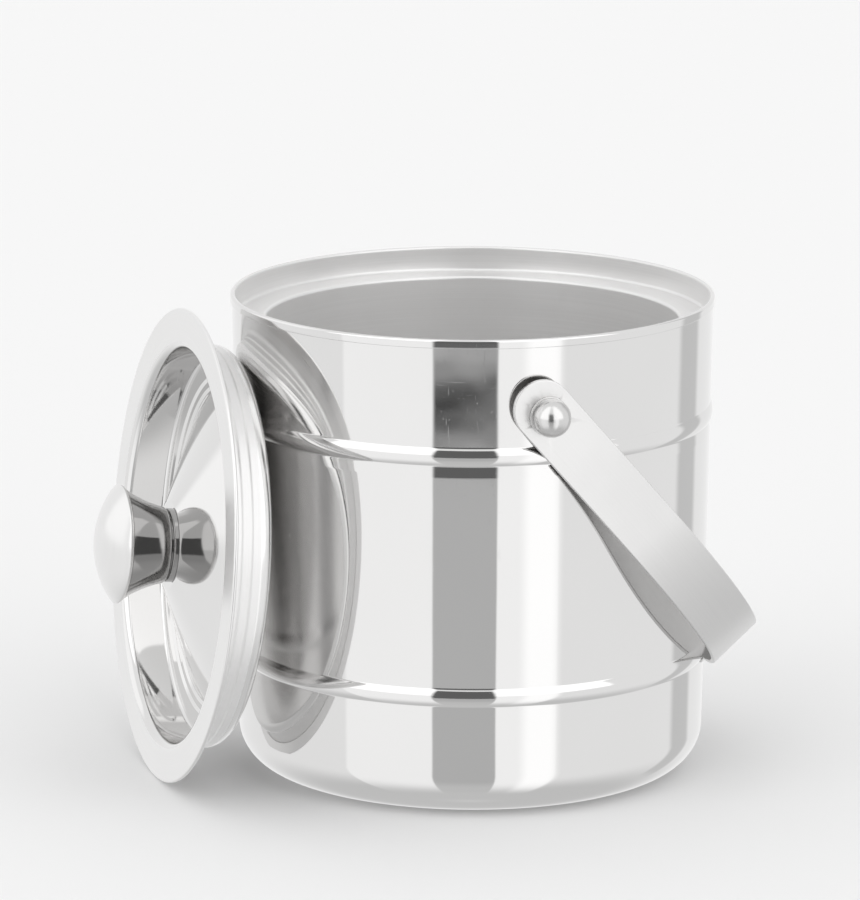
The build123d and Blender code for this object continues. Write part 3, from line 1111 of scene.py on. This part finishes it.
def bail_axes(pivot: Vector, hang: float = 48.6) -> Matrix:
    """The bail's axes at rest: local X along the arms, local Z across the strap."""
    slope = math.radians(hang)
    along = Vector((math.cos(slope), 0.0, -math.sin(slope)))
    across = Vector((math.sin(slope), 0.0, math.cos(slope)))
    axes = Matrix((along, across.cross(along), across)).transposed().to_4x4()
    return Matrix.Translation(pivot) @ axes


def main() -> None:
    """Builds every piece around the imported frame."""
    logging.basicConfig(level=logging.INFO, format="%(name)s: %(message)s")
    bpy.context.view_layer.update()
    nodes = frame["nodes"]
    pivot = Vector(frame["joints"][0]["pos_m"])
    lid_place = lean_place()
    upright = Matrix.Identity(4)

    studio = Studio()
    studio.build()

    shop = SteelShop()
    mirror = SteelFinish("mirror_steel", 0.035, 0.06, 0.74, 0.77, 0.00006)
    inside = SteelFinish("liner_steel", 0.26, 0.40, 0.76, 0.84, 0.000008, smudge=0.05, metallic=0.6)
    strap = SteelFinish("satin_strap_steel", 0.30, 0.36, 0.74, 0.79, 0.000005, smudge=0.06)
    # painted shade: darker greys for the strap's inner side, where it faces the wall across a narrow gap
    strap_inner_painted_shade = SteelFinish("strap_inner_painted_shade_steel", 0.26, 0.32, 0.54, 0.60, 0.000005, smudge=0.06)
    ball = SteelFinish("ball_soft_steel", 0.17, 0.24, 0.66, 0.72, 0.000006, smudge=0.04)
    flange = SteelFinish("flange_satin_steel", 0.24, 0.36, 0.80, 0.88, 0.000008, smudge=0.04)
    recess = SteelFinish("recess_polished_steel", 0.05, 0.08, 0.74, 0.78, 0.00003)
    cup = SteelFinish("turned_cup_steel", 0.26, 0.40, 0.78, 0.86, 0.000012, smudge=0.04, metallic=0.6)
    # painted shade: the knob's polished greys are kept low to stand in for the dark reflections on its
    # flare
    knob = SteelFinish("knob_polished_painted_shade_steel", 0.07, 0.09, 0.38, 0.48, 0.00002)
    dome = SteelFinish("dome_soft_steel", 0.17, 0.25, 0.78, 0.84, 0.000006, smudge=0.04)
    plain = SteelFinish("fastener_plain_steel", 0.30, 0.42, 0.55, 0.65, 0.00001)

    polished = shop.material(mirror, None, upright)
    fastener = shop.material(plain, shop.turned, bail_axes(pivot))
    Bucket(Lathe(), polished, shop.material(inside, shop.turned, upright)).build()
    bail = Bail(
        lathe=Lathe(),
        pair=BothSides(),
        satin=shop.material(strap, shop.brushed, bail_axes(pivot)),
        inner_painted_shade_satin=shop.material(strap_inner_painted_shade, shop.brushed, bail_axes(pivot)),
        polished=shop.material(ball, shop.turned, bail_axes(pivot)),
        plain=fastener,
        pivot=pivot,
    )
    bail.build(nodes)
    lid = Lid(
        lathe=Lathe(),
        satin=shop.material(flange, shop.turned, lid_place),
        polished=shop.material(recess, None, lid_place),
        cup_steel=shop.material(cup, shop.turned, lid_place),
        knob_steel=shop.material(knob, None, lid_place),
        dome_steel=shop.material(dome, shop.turned, lid_place),
    )
    lid.build(lid_place)
    lid_fastener = shop.material(
        SteelFinish("lid_fastener_steel", 0.26, 0.38, 0.58, 0.68, 0.00001), shop.turned, lid_place
    )
    dressed = {
        fastener: ["pivot_backing_near", "pivot_backing_far", "pivot_stud_near", "pivot_stud_far"],
        lid_fastener: ["knob_screw", "screw_washer", "distance_sleeve"],
    }
    for finish, names in dressed.items():
        for name in names:
            nodes[name].data.materials.clear()
            nodes[name].data.materials.append(finish)


if __name__ == "__main__":
    main()
